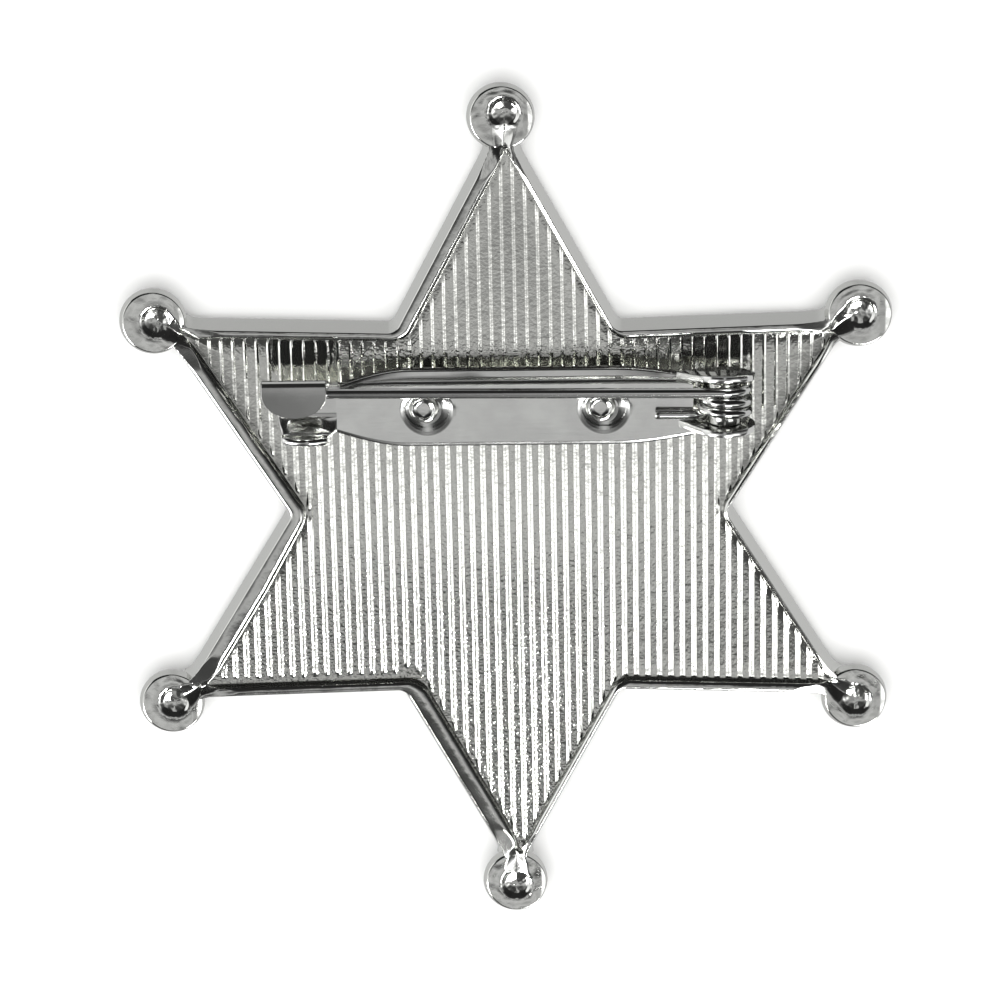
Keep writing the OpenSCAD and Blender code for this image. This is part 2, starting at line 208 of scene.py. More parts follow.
# %% Material helpers
def metal(name, colour, rough, rough_scale, bump_layers):
    """Bright metal. Roughness runs between two values with a slow noise, and each
    bump layer is (noise size in mm, height in mm, detail, stretch along X, Y, Z)."""
    m = bpy.data.materials.new(name)
    m.use_nodes = True
    nodes, links = m.node_tree.nodes, m.node_tree.links
    shader = nodes["Principled BSDF"]
    shader.inputs["Metallic"].default_value = 1
    shader.inputs["Base Color"].default_value = (*colour, 1)
    place = nodes.new("ShaderNodeTexCoord")
    cloud = nodes.new("ShaderNodeTexNoise")
    cloud.inputs["Scale"].default_value = 1 / (rough_scale * MM)
    cloud.inputs["Detail"].default_value = 3
    links.new(place.outputs["Object"], cloud.inputs["Vector"])
    spread = nodes.new("ShaderNodeMapRange")
    spread.inputs["From Min"].default_value = 0.3
    spread.inputs["From Max"].default_value = 0.7
    spread.inputs["To Min"].default_value = rough[0]
    spread.inputs["To Max"].default_value = rough[1]
    links.new(cloud.outputs["Fac"], spread.inputs["Value"])
    links.new(spread.outputs["Result"], shader.inputs["Roughness"])
    last = None
    for size, height, detail, stretch in bump_layers:
        turn = nodes.new("ShaderNodeMapping")
        turn.inputs["Scale"].default_value = [1 / (size * MM * s) for s in stretch]
        noise = nodes.new("ShaderNodeTexNoise")
        noise.inputs["Scale"].default_value = 1
        noise.inputs["Detail"].default_value = detail
        bump = nodes.new("ShaderNodeBump")
        bump.inputs["Distance"].default_value = height * MM
        links.new(place.outputs["Object"], turn.inputs["Vector"])
        links.new(turn.outputs["Vector"], noise.inputs["Vector"])
        links.new(noise.outputs["Fac"], bump.inputs["Height"])
        if last:
            links.new(last.outputs["Normal"], bump.inputs["Normal"])
        last = bump
    links.new(last.outputs["Normal"], shader.inputs["Normal"])
    return m


# %% A bump in one part of a piece only
def only_where(material, layer, *ranges):
    """Strength of one bump layer: a product of shares, one for each (axis, start,
    end) in mm, which grow from 0 at start to 1 at end."""
    nodes, links = material.node_tree.nodes, material.node_tree.links
    split = nodes.new("ShaderNodeSeparateXYZ")
    links.new(nodes["Texture Coordinate"].outputs["Object"], split.inputs[0])
    strength = None
    for axis, start, end in ranges:
        share = nodes.new("ShaderNodeMapRange")
        share.inputs["From Min"].default_value = start * MM
        share.inputs["From Max"].default_value = end * MM
        links.new(split.outputs[axis], share.inputs["Value"])
        if strength:
            both = nodes.new("ShaderNodeMath")
            both.operation = "MULTIPLY"
            links.new(strength, both.inputs[0])
            links.new(share.outputs["Result"], both.inputs[1])
            strength = both.outputs[0]
        else:
            strength = share.outputs["Result"]
    bumps = [node for node in nodes if node.type == "BUMP"]
    links.new(strength, bumps[layer].inputs["Strength"])


# %% [markdown]
# The floor has a fine grain all over. A coarser one grows towards its lower left,
# and another lies in a band between the bar and the upper border.

# %% Finishes
EVEN = (1, 1, 1)
cast_floor_metal = metal(
    "cast_floor_nickel", (0.71, 0.714, 0.68), (0.04, 0.09), 1.2,
    [
        (0.45, 0.008, 1, EVEN), (0.2, 0.007, 2, EVEN),
        (0.22, 0.02, 1, EVEN), (0.3, 0.025, 1, EVEN),
    ],
)
low_grain, bar_grain = 2, 3
only_where(cast_floor_metal, low_grain, ("Y", -1, -8), ("X", 11, 3))
only_where(
    cast_floor_metal, bar_grain, ("Y", 14.2, 12.6), ("Y", 9, 10), ("X", 13, 10), ("X", -15, -12)
)
tumbled_metal = metal(
    "tumbled_nickel", (0.74, 0.745, 0.72), (0.07, 0.14), 2.0,
    [(2.2, 0.04, 2, EVEN), (0.3, 0.004, 2, EVEN)],
)
pressed_metal = metal(
    "pressed_nickel", (0.78, 0.785, 0.765), (0.10, 0.17), 3.0,
    [(3.5, 0.012, 2, EVEN), (0.25, 0.001, 2, (6, 1, 1))],
)
wire_metal = metal(
    "drawn_wire_nickel", (0.66, 0.665, 0.65), (0.08, 0.14), 1.5,
    [(0.08, 0.001, 2, (20, 1, 1))],
)
print("finishes", [m.name for m in bpy.data.materials])

# %% [markdown]
# ## Outline of the star
# Six tips lie 30 mm from the middle, and the straight edges meet in inner corners
# with a small radius. A line at an even distance inside the outline is the same
# shape with a larger radius, so one set of angles serves the whole border. The
# two halves of the mould were a little out of line: the ridged floor sits to the
# right within its outline by die_shift, so the border is wide on the left and
# narrow on the right. At the lower left it is wider still, by foot_shift.

# %% Outline values
tip_reach, notch_reach, notch_r = 30.0, 16.73, 0.5
field_z, front_z = 2.2, 0.9  # heights of the ridged floor and of its front
die_shift, foot_shift = 0.42, 0.35
edge_angle = math.atan2(
    tip_reach * math.sin(math.pi / 6), tip_reach * math.cos(math.pi / 6) - notch_reach
)
tip_half = edge_angle - math.pi / 6
along = np.array([math.cos(edge_angle), math.sin(edge_angle)])
inward = np.array([-along[1], along[0]])
notch_centre = np.array([notch_reach + notch_r / math.cos(edge_angle - math.pi / 2), 0])
tip_line = np.array([math.cos(math.pi / 6), math.sin(math.pi / 6)])
across_tip = np.array([tip_line[1], -tip_line[0]])
tip = tip_reach * tip_line
print("edges run at", round(math.degrees(edge_angle), 2), "degrees from the inner corner's line")


# %% Groove of a tip
def groove(away, beside):
    """Height of the valley that joins a ball's hollow to the ridged floor. away is
    the distance from the ball's axis, beside the distance from the middle line of
    the tip. It is a V that grows narrow and steep towards the floor."""
    half = np.interp(away, [1.0, 1.6, 2.2, 3.0], [0.95, 0.75, 0.45, 0.28])
    keel = np.interp(away, [0.8, 1.6, 2.9], [2.42, 2.32, 2.2])
    return keel + 0.38 * np.sqrt((beside / half) ** 2 + 0.006)


print("groove is", round(float(groove(1.0, 0.0)), 2), "mm above the ground inside the ball")

# %% [markdown]
# ## Border of the star
# The border is one profile carried round the outline: a plain step on the front,
# a flared outer side, a flat crest and a short steep slope down to the ridges. It
# is built for one inner corner, from ball to ball, and turned five times. Close to
# a ball the outer side spreads into a fillet, the crest sinks into the ball's rim
# and the groove cuts between the two slopes. Where the mould's shift widens or
# narrows the border, its crest takes that up, and the flare stays as it is.

# %% Border profile, as distance from the outline and height
rim_profile = rounded([
    (1.95, 1.35), (1.75, 0.9), (1.4, 0.55), (0.35, 0.55), (0, 0.9), (0.02, 1.25),
    (0.42, 2.84), (0.50, 3.0), (0.88, 3.0), (1.12, 2.83), (1.16, 2.40), (1.22, 2.2),
    (1.45, 1.95), (1.9, 1.7),
], 0.12, 5)
print("border profile", len(rim_profile), "points,", np.ptp(rim_profile, axis=0).round(2), "mm")


# %% One arm of the border
def border_arm(inset, z, count=56):
    """Points from one inner corner out to the ball, for each (inset, z) of the
    profile: straight along the offset edge until it meets the tip's middle line
    or the ball's wall, whichever comes first, then along that line to the wall."""
    wall = np.interp(z, [0.5, 0.9, 1.25, 2.0, 2.4], [0.95, 1.35, 1.7, 2.05, 2.2])
    start = notch_centre + (notch_r + inset)[:, None] * inward
    over = -0.015  # each arm passes the middle line a little, so no gap is left
    to_middle = (start @ across_tip - over) / -(along @ across_tip)
    v = start - tip
    inside = (v @ along) ** 2 - (v * v).sum(axis=1) + wall ** 2
    to_wall = np.where(inside > 0, -(v @ along) - np.sqrt(np.maximum(inside, 0)), 1e9)
    first = np.minimum(to_middle, to_wall)
    bend = start + first[:, None] * along
    end = (tip_reach - np.sqrt(wall ** 2 - over ** 2))[:, None] * tip_line + over * across_tip
    second = np.where(to_wall < to_middle, 0, np.linalg.norm(end - bend, axis=1))
    t = 1 - (1 - np.linspace(0, 1, count)) ** 1.5
    far = t[:, None] * (first + second)
    on_edge = start + np.minimum(far, first)[..., None] * along
    return on_edge + np.maximum(far - first, 0)[..., None] * tip_line


# %% Whole border
def near_ball(height, z, away, beside):
    """Heights close to a ball, away from its axis: the crest sinks to its rim in
    a straight line, and the groove of the tip is cut out."""
    sunk = 2.71 + 0.31 * np.clip((away - 2.3) / 2.6, 0, 1)
    height = np.where((z > 2) & (away < 4.9), smooth_low(height, sunk, 0.03), height)
    cut = groove(away, beside)
    return np.where((z > 2) & (away < 3.4), smooth_low(height, cut, 0.12), height)


def border():
    """The whole profile carried along one arm, round the inner corner's arc and
    along the mirrored arm, then shaped near the balls, and turned to the six corners."""
    inset, z = rim_profile.T
    arm = border_arm(inset, z)
    turn = np.linspace(math.pi / 2 + edge_angle, 1.5 * math.pi - edge_angle, 15)[1:-1]
    radius = (notch_r + inset)[None, :, None]
    arc = notch_centre + radius * np.stack([np.cos(turn), np.sin(turn)], axis=-1)[:, None]
    plan = np.concatenate([arm[::-1], arc, arm * [1, -1]])
    x, y = plan[..., 0], np.abs(plan[..., 1])
    offset = np.stack([x, y], axis=-1) - tip
    away = np.linalg.norm(offset, axis=-1)
    height = near_ball(np.broadcast_to(z, x.shape), z, away, offset @ across_tip)
    spread = 0.34 * np.exp(-np.maximum(away - 2.35, 0) / 0.32)
    spread = spread * np.clip((0.7 - inset) / 0.7, 0, 1) * np.clip((z - 0.4) / 0.6, 0, 1)
    mirror = np.stack([np.ones_like(x), np.sign(plan[..., 1])], axis=-1)
    plan = plan - spread[..., None] * inward * mirror
    height = height + 0.012 * ripple(plan[..., 0], plan[..., 1], 4.0) * (z > 1.2)
    drift = die_shift * np.interp(inset, [0, 0.45, 0.88, 1.22], [0, 0.1, 0.95, 1])
    drift = drift * np.clip(0.6 + 0.4 * (away - 2.4) / 1.5, 0, 1)
    shells = []
    for k in range(6):
        a = math.radians(60 * k)
        place = plan @ np.array([[math.cos(a), math.sin(a)], [-math.sin(a), math.cos(a)]])
        lower_left = np.clip(0.5 - place[..., 0] / 3, 0, 1) * np.clip(-place[..., 1] / 6, 0, 1)
        wider = foot_shift / die_shift * lower_left * np.clip((inset - 0.5) / 0.4, 0, 1)
        place[..., 0] += drift * (1 + wider)
        lift = 0.08 * lower_left * np.clip(inset - 0.5, 0, 0.38) * (z > 2)
        shells.append(tube(np.concatenate([place, (height + lift)[..., None]], axis=-1)))
    return shells


star_border = make_piece("star_border", border(), tumbled_metal, "star_nickel")

# %% [markdown]
# ## Ridged floor
# Inside the border the back of the star is a flat floor with upright ridges. Each
# column of the grid is one line along the ridges, from border to border, with
# fifteen columns to a ridge, most of them on its flanks. Right and left of the two
# side corners a column crosses two arms, so the grid holds two halves, which share
# their middle row where they meet. The ridges waver a little, as cast ones do. They
# are lower in the upper tip, and worn flat towards the lower left.

# %% Edges of the floor
floor_inset, foot_inset = 0.98, 1.2


def top_edge(x, inset):
    """Height in Y of the outline at distance inset, above |x|: the tip's straight
    edge, the inner corner's arc, and the edge out to the side tip."""
    x, r = np.abs(x), notch_r + inset
    turn = np.array([[0.5, -math.sqrt(0.75)], [math.sqrt(0.75), 0.5]])
    centre = turn @ notch_centre
    upper, lower = turn @ inward, turn @ (inward * [1, -1])
    a, b = centre + r * upper, centre + r * lower
    run_a, run_b = turn @ along, turn @ (along * [1, -1])
    arc = centre[1] - np.sqrt(np.maximum(r ** 2 - (x - centre[0]) ** 2, 0))
    y = np.where(x < a[0], a[1] + (x - a[0]) * run_a[1] / run_a[0], arc)
    return np.where(x > b[0], b[1] + (x - b[0]) * run_b[1] / run_b[0], y)


def low_edge(x, inset):
    """The same outline's edge below a side arm, and 0 where there is none."""
    x, r = np.abs(x), notch_r + inset
    a = notch_centre + r * inward
    arc = np.sqrt(np.maximum(r ** 2 - (x - notch_centre[0]) ** 2, 0))
    y = np.where(x < notch_centre[0] - r, 0, arc)
    return np.where(x > a[0], a[1] + (x - a[0]) * along[1] / along[0], y)


def from_border(x, y):
    """Distance to the foot of the border: the fall to the straight edges above
    and below, times the cosine of their slopes."""
    side = np.abs(x - die_shift)
    above = top_edge(side, foot_inset) - np.abs(y)
    above = above * np.where(side < notch_reach / 2 + 0.4, math.sin(tip_half), 1)
    below = np.abs(y) - low_edge(side, foot_inset)
    below = np.where(side > notch_reach - 1.6, below * math.cos(edge_angle), 9)
    return np.maximum(np.minimum(above, below), 0)


print("floor reaches", round(float(top_edge(np.array(0.0), floor_inset)), 2), "mm up and down")

# %% Ridges
ridge_pitch, ridge_first, ridge_half, ridge_h = 0.872, -0.09, 0.205, 0.09


def ridge_height(x, y):
    """A ridge at each whole pitch: two straight flanks with an eased crown and
    eased feet, which waver a little, end in a quarter circle, and on the right
    swell into a drop there. The floor between them rises in a wide hollow
    towards the border."""
    wander = 0.010 * ripple(x, y, 1.6, 1.0) + 0.006 * ripple(x, y, 0.7, 2.0)
    u = x + wander - ridge_first
    u = u - ridge_pitch * np.round(u / ridge_pitch)
    gap = from_border(x, y)
    left = np.clip(0.5 - x / 3, 0, 1)
    first = left * (0.16 + foot_shift * np.clip(-y / 6, 0, 1))
    end = np.sqrt(np.clip(1 - (1 - np.clip((gap - first) / 0.2, 0, 1)) ** 2, 0, 1))
    swell = 1 + 0.16 * (1 - left) * np.exp(-((gap - 0.2) / 0.15) ** 2)
    small = 1 - 0.42 * np.clip((y - 3) / 9, 0, 1)
    small = small - 0.07 * np.clip(-y / 4, 0, 1) - 0.12 * np.clip((-y - 13) / 5, 0, 1)
    swell = swell * small * (1 + 0.06 * ripple(x, y, 0.9, 3.0))
    worn = np.clip((-y - 2) / 6, 0, 1) * np.clip((10 - x) / 8, 0, 1)
    crown = 0.02 * small ** 2 + 0.05 * worn
    flank = (np.sqrt(u ** 2 + crown ** 2) - 0.6 * crown) / (ridge_half * swell)
    bell = -smooth_low(flank - 1, np.zeros_like(flank), 0.12)
    hollow = (0.10 - 0.06 * np.clip((-y - 8) / 4, 0, 1)) * np.exp(-gap / 0.7)
    return ridge_h * end * swell * bell + hollow + 0.003 * ripple(x, y, 1.2, 4.0)


print("ridges:", int(2 * tip_reach * math.cos(math.pi / 6) / ridge_pitch), "from tip to tip")


# %% Floor
def floor_columns(split):
    """Places in X of the grid's columns: the same fifteen in each pitch, less
    those beside the side corners at split, which get columns of their own."""
    reach = (tip_reach - floor_inset / math.sin(tip_half)) * math.cos(math.pi / 6)
    part = np.array([0, 0.02, 0.05, 0.09, 0.15, 0.19, 0.23, 0.27])
    part = np.concatenate([part, ridge_pitch - part[:0:-1]])
    x = (ridge_pitch * np.arange(-30, 31)[:, None] + part + ridge_first - die_shift).ravel()
    x = x[np.abs(x) < reach - 0.02]
    x = x[np.abs(np.abs(x) - split - 0.02) > 0.035]
    marks = [-reach, -split - 0.04, -split, split, split + 0.04, reach]
    return np.unique(np.round(np.concatenate([x, marks]), 4))


def ridged_floor(rows=58):
    """Top of two halves of rows each, walls at the outline, and a plain front.
    Where the halves meet, they share their points and have no wall."""
    x = floor_columns(notch_centre[0] - notch_r - floor_inset)
    top, low = top_edge(x, floor_inset), low_edge(x, floor_inset)
    top = np.maximum(top, low)
    upper = low[:, None] + (top - low)[:, None] * np.linspace(0, 1, rows)
    y = np.concatenate([-upper[:, ::-1], upper], axis=1)
    x = x + die_shift
    x2 = np.broadcast_to(x[:, None], y.shape)
    z = field_z + ridge_height(x2, y)
    ids = np.arange(z.size).reshape(z.shape)
    joined = low < 1e-6
    ids[joined, rows] = ids[joined, rows - 1]
    back = np.stack([x2, y, z], axis=-1).reshape(-1, 3)
    edge = [0, rows - 1, rows, 2 * rows - 1]
    front = np.stack([x2[:, edge], y[:, edge], np.full((len(x), 4), front_z)], axis=-1)
    under = z.size + np.arange(4 * len(x)).reshape(-1, 4)
    under[joined, 2] = under[joined, 1]
    quads = [
        grid_quads(ids[:, :rows]), grid_quads(ids[:, rows:]),
        grid_quads(under[:, :2])[:, ::-1], grid_quads(under[:, 2:])[:, ::-1],
    ]
    for lower, row in enumerate(edge):
        keep = ~(joined[1:] & joined[:-1]) if lower in (1, 2) else slice(None)
        wall = grid_quads(np.stack([ids[:, row], under[:, lower]], axis=1))[keep]
        quads.append(wall[:, ::-1] if lower in (1, 3) else wall)
    points = np.concatenate([back, front.reshape(-1, 3)])
    return points, np.concatenate(quads), np.zeros((0, 3), int)


star_floor = make_piece(
    "star_floor", [ridged_floor()], cast_floor_metal, "star_nickel", crease=50
)

# %% [markdown]
# ## Ball tips
# Each tip is a ball whose back is hollowed: a rounded shoulder, a nearly flat ring
# and a round pit, with the groove running from the pit to the ridges. A height
# over the distance from the axis and the angle round it gives the back, and a
# turned profile gives the rest. Each pit lies a little to its own side of the
# middle, and the right side of every ring is worn round.

# %% Hollow of a ball
ball_r, ball_wide, rim_r, rim_z, ring_lean = 2.48, 2.3, 2.26, 2.80, 0.045
slope_r = [0, 0.3, 0.5, 0.85, 0.95, 1.05, 1.2, 1.32, 1.45, 1.8, 2.1]
slope_deg = [0, 2, 10, 15, 42, 42, 16, 0, -2, 2, 0]


def dish(r):
    """Height of the hollow back over the distance from the pit's axis. The slope
    is read from a short table and summed from the ring inwards."""
    fine = np.linspace(0, rim_r, 800)
    slope = np.tan(np.radians(np.interp(fine, slope_r, slope_deg)))
    rise = np.cumsum(slope) * fine[1]
    return rim_z + np.interp(r, fine, rise - rise[-1])


print("pit is", round(rim_z - float(dish(0)), 2), "mm deep")

# %% Balls
pit_places = [
    (0.27, 0.33), (0.33, 0.05), (0.25, 0.07), (0.08, -0.17), (0.08, -0.1), (0.08, 0.15),
]


def balls(steps=150):
    """One ball as a closed grid of rings, from the pit's middle over a tight
    shoulder and a leaning wall to the widest ring, and down to the ground, turned
    to the six tips. The rings' points lie closer on the groove's side. The wear is
    a square of the distance to the right of the ball's axis."""
    r_top = np.concatenate([
        np.linspace(0, 0.95, 17), np.linspace(0.98, 1.4, 16),
        np.linspace(1.45, rim_r - 0.06, 10),
    ])
    wall = rounded([
        (rim_r - 0.05, rim_z), (rim_r + 0.04, rim_z - 0.03), (2.46, 2.38), (ball_r, ball_wide),
    ], 0.09, 6)
    low = np.linspace(0, math.pi / 2, 26)[1:]
    r = np.concatenate([r_top, wall[:, 0], ball_r * np.cos(low)])
    z = np.concatenate([dish(r_top), wall[:, 1], ball_wide * (1 - np.sin(low))])
    turn = np.linspace(0, 2 * math.pi, steps, endpoint=False)
    turn = turn - 0.45 * np.sin(turn)
    x, y = r[:, None] * np.cos(turn), r[:, None] * np.sin(turn)
    on_ring = np.clip((z[:, None] - 1.9) / 0.7, 0, 1)
    height = z[:, None] - ring_lean * x * on_ring
    cut = np.where(x > 0, groove(r[:, None], y), 9)
    upper = np.arange(len(r)) < len(r_top) + len(wall)
    height = np.where(upper[:, None], smooth_low(height, cut, 0.07), height)
    in_pit = (r < 1.35)[:, None]
    rough = 0.008 * ripple(x, y, 1.3, 6.0) + 0.007 * ripple(x, y, 0.45, 7.0) * in_pit
    height += rough * np.clip((z[:, None] - 1) / 0.5, 0, 1) * np.clip(r[:, None] / 0.3, 0, 1)
    pit_share = np.where(upper, 1 - np.clip((r - 1.35) / 0.8, 0, 1), 0)[:, None]
    rim_share = np.where(upper, 1 - np.clip((r - rim_r) / 0.2, 0, 1), 0)[:, None]
    rim_share = rim_share * (1 - pit_share)
    shells = []
    for k, (pit_x, pit_y) in enumerate(pit_places):
        a = math.radians(90 + 60 * k)
        px = tip_reach * math.cos(a) - x * math.cos(a) + y * math.sin(a)
        py = tip_reach * math.sin(a) - x * math.sin(a) - y * math.cos(a)
        worn = 0.225 * np.maximum(px - tip_reach * math.cos(a) - 1.35, 0) ** 2
        px = px + pit_x * pit_share + 0.12 * rim_share
        py = py + pit_y * pit_share
        shells.append(tube(np.stack([px, py, height - worn * on_ring], axis=-1)))
    return shells


ball_tips = make_piece("ball_tips", balls(), tumbled_metal, "star_nickel")

# %% [markdown]
# ## Bar of the pin
# The bar is a strip pressed from sheet, hollow below. Its face is flat, its lower
# edge is turned straight down, and along the upper edge the sheet steps down to
# a narrow flange, which leans a little near the two ends. Every section across
# the bar is the same list of points, whose places follow the two curved edges.

# %% Outline and dimples of the bar
bar_x, bar_y, bar_face = 0.5, 8.75, 4.8
bar_left, bar_right, bar_full = 12.9, 13.3, 7.5
rivets = np.array([[-6.0, 8.75], [7.0, 8.75]])


def bar_half(u):
    """Half the width of the bar at u from its middle: full, then eased to each
    end as a quarter of a sine wave."""
    from_left = np.clip((bar_left + u) / (bar_left - bar_full), 0, 1)
    from_right = np.clip((bar_right - u) / (bar_right - bar_full), 0, 1)
    narrow = 1.75 + 1.15 * np.sin(np.pi / 2 * from_left)
    broad = 2.2 + 0.7 * np.sin(np.pi / 2 * from_right)
    return np.where(u < -bar_full, narrow, np.where(u > bar_full, broad, 2.9))


def dimple(x, y):
    """Depth of the two countersinks, a little off the rivets: two gentle slopes
    with a small step between them, shallower on the lower side."""
    depth = np.zeros_like(x)
    for cx, cy in rivets + [0.26, -0.06]:
        r = np.hypot(x - cx, (y - cy) * np.where(y > cy, 1.3, 1))
        slopes = np.interp(
            r, [1.1, 1.35, 1.62, 1.66, 1.72, 1.95, 2.02],
            [0.26, 0.20, 0.105, 0.075, 0.07, 0.004, 0],
        )
        depth += slopes * (1 - 0.55 * np.clip((cy - y) / 1.5, 0, 1))
    return depth


print("bar is", 2 * float(bar_half(np.array(0.0))), "mm wide in the middle")


# %% Bar
def bar_shell():
    """Sections across the bar at close stations near the rivets and wider ones
    elsewhere. Each point is a share m between the two edges plus an offset."""
    near = [np.arange(c - 2, c + 2.2, 0.055) for c in rivets[:, 0]]
    wide = np.linspace(bar_x - bar_left, bar_x + bar_right, 90)
    x = np.unique(np.round(np.concatenate([*near, wide]), 3))
    u = x - bar_x
    half = bar_half(u)
    low, high = bar_y - half, bar_y + half - 0.05
    bend = np.minimum(10.60, high - 0.42)
    tilt = np.interp(x, [-9, -4, 0], [0.10, 0.08, 0.0])
    lean = np.interp(x, [-2.4, -0.4, 11.5, 12.8], [0, 0.17, 0.17, 0])
    rows = []
    turned_down = [(0.12, 3.6), (0.0, 3.62), (0, 4.6), (0.06, 4.74), (0.3, bar_face)]
    for offset, z in rounded(turned_down, 0.14, 5):
        rows.append((low + offset, z))
    for m in np.linspace(0, 1, 84)[1:-1]:
        rows.append((low + 0.3 + (bend - low - 0.3) * m, bar_face))
    flange = [
        (0, bar_face), (0.06, 4.78), (0.14, 4.52), (0.22, 4.5), (0.5, 4.5), (0.93, 4.5), (1, 4.42),
    ]
    for s, z in rounded(flange, 0.08, 5):
        rows.append((bend + (high - bend) * s, z - tilt * s ** 2 - lean * max(s - 0.48, 0)))
    rows += [
        (high - 0.01, 3.6), (high - 0.22, 3.58), (bend - 0.3, 4.15), (low + 0.7, 4.2),
        (low + 0.45, 3.6),
    ]
    y = np.stack([row[0] for row in rows], axis=1)
    z = np.stack([np.broadcast_to(row[1], x.shape) for row in rows], axis=1)
    x2 = np.broadcast_to(x[:, None], y.shape)
    z = z - dimple(x2, y) * (z > 4.7)
    bow = 0.0009 * (x2 - bar_x) ** 2 + 0.017 * (y - bar_y)
    z = z + (bow + 0.006 * ripple(x2, y, 9.0, 2.0)) * (z > 4.7)
    return tube(np.stack([x2, y, z], axis=-1))


bar_pressing = make_piece(
    "bar_pressing", [bar_shell()], pressed_metal, "bar_nickel", crease=60
)

# %% [markdown]
# ## Rivets
# Two posts of the casting come up through the bar, and their ends are punched
# hollow and spread over it. Each is a turned profile: a bowl, a rolled rim and
# a neck, on the post that stands on the floor of the star.

# %% Turning a profile
def turned(profile, steps, middle, axis="z"):
    """Carries a list of (radius, height) round an axis through middle."""
    r, h = np.array(profile).T
    a = np.linspace(0, 2 * np.pi, steps, endpoint=False)
    c, s = r[:, None] * np.cos(a), r[:, None] * np.sin(a)
    level = np.broadcast_to(h[:, None], c.shape)
    grid = (c, s, level) if axis == "z" else (c, level, s)
    return tube(np.stack(grid, axis=-1) + np.asarray(middle, float))


# %% Rivets
rivet_profile = rounded([
    (0.0, -0.02), (0.5, -0.03), (0.7, 0.05), (0.80, 0.15), (0.88, 0.13), (0.95, 0.0),
    (1.16, -0.26), (1.2, -0.36), (1.0, -0.42), (0.85, -0.9), (0.85, -1.0),
], 0.08, 6)
post_profile = rounded([
    (0.85, -0.5), (1.6, -0.66), (1.6, -2.2), (1.95, -2.62), (1.95, -2.8),
], 0.2, 6)
heads = [turned(rivet_profile, 72, (cx, cy, 4.78)) for cx, cy in rivets]
posts = [turned(post_profile, 72, (cx, cy, 4.8)) for cx, cy in rivets]
rivet_posts = make_piece("rivet_posts", heads + posts, tumbled_metal, "star_nickel")

# %% [markdown]
# ## Catch and guard lip
# At the narrow end the sheet stands up as a leaning wall and folds over the pin's
# point as a rounded flap. Below it the sheet curls up into a hollow lip with a
# small bead on its edge, which guards the point. Both are bent sheets: a middle
# line across the bar, moved half a thickness to either side along its normal.

# %% Bent sheet
def bent_sheet(line, x_low, x_high, thick, edge=0.08):
    """Grid of a sheet about a polyline of (y, z) points. Each point of the line
    spans from x_low to x_high, and the two long edges are rounded. A loop round
    the sheet has an X and a side, from 1 above the line to -1 below it."""
    line = np.array(line, float)
    run = np.gradient(line, axis=0)
    run /= np.linalg.norm(run, axis=1)[:, None]
    normal = np.stack([-run[:, 1], run[:, 0]], axis=1)
    low, high = np.asarray(x_low, float)[:, None], np.asarray(x_high, float)[:, None]
    across = low + edge + (high - low - 2 * edge) * np.linspace(0, 1, 15)
    a = np.linspace(-np.pi / 2, np.pi / 2, 7)[1:-1]
    x = np.concatenate([
        across, high - edge + edge * np.cos(a), across[:, ::-1], low + edge - edge * np.cos(a),
    ], axis=1)
    side = np.concatenate([np.ones(15), -np.sin(a), -np.ones(15), np.sin(a)])
    off = side * np.broadcast_to(thick, len(line))[:, None] / 2
    y = line[:, None, 0] + normal[:, None, 0] * off
    z = line[:, None, 1] + normal[:, None, 1] * off
    return np.stack([x, y, z], axis=-1)


# %% Catch
catch_x, catch_l, catch_t = -17.7, 4.8, 0.5
flap_z = 7.05
hook_line = rounded([
    (10.62, 4.4), (11.40, flap_z - 0.1), (10.65, flap_z), (8.88, flap_z + 0.16),
], 0.6, 10)
share = np.sin(np.linspace(0, 1, 16)[1:-1, None] * np.pi / 2)
hook_line = np.concatenate([
    hook_line[:-1], hook_line[-2] + (hook_line[-1] - hook_line[-2]) * share, hook_line[-1:],
])
flap_root, flap_end = 10.7, hook_line[-1, 0]
free = np.clip((flap_root - hook_line[:, 0]) / (flap_root - flap_end), 0, 1)
free = free * (hook_line[:, 1] > 6)
half_wide = catch_l / 2 * np.sqrt(np.maximum(1 - free ** 2.3, 0.002))
catch_mid = catch_x + catch_l / 2
hook = bent_sheet(hook_line, catch_mid - half_wide, catch_mid + half_wide, catch_t)
catch_hook = make_piece("catch_hook", [tube(hook)], pressed_metal, "bar_nickel")

# %% Guard lip
lip_x, lip_l, lip_t, lip_z, scoop_r, bead_r = -16.75, 4.7, 0.5, 4.55, 2.2, 0.2
scoop_y, scoop_z = 9.0, 6.617
a = np.radians(np.linspace(20, 75, 16))
root = np.array([[10.75, lip_z], [10.4, lip_z], [9.4, lip_z], [8.6, lip_z]])
scoop = np.stack([scoop_y - scoop_r * np.sin(a), scoop_z - scoop_r * np.cos(a)], axis=1)
a = np.radians(np.linspace(0, 215, 12))[1:]
bead = scoop[-1] + bead_r * np.stack([np.cos(a) - 1, np.sin(a)], axis=1)
lip_line = np.concatenate([root, scoop, bead])
rise = np.clip((lip_line[:, 1] - 4.6) / 1.3, 0, 1)
rise[-len(bead):] = 1
lip = bent_sheet(
    lip_line, lip_x + 0.3 * rise, lip_x + lip_l - rise ** 1.5, lip_t - 0.22 * rise
)
lip_mid = lip_x + lip_l / 2 - 0.2
lip[..., 2] -= 0.17 * rise[:, None] * (lip[..., 0] - lip_mid) ** 2
guard_lip = make_piece("guard_lip", [tube(lip)], pressed_metal, "bar_nickel")

# %% [markdown]
# ## Sweeping a wire
# A wire is a circle carried along a path. At each point the circle stands across
# the path's direction, and the frame's first axis is kept as near to Y as it can
# be, which never fails here because the wire never runs along Y.

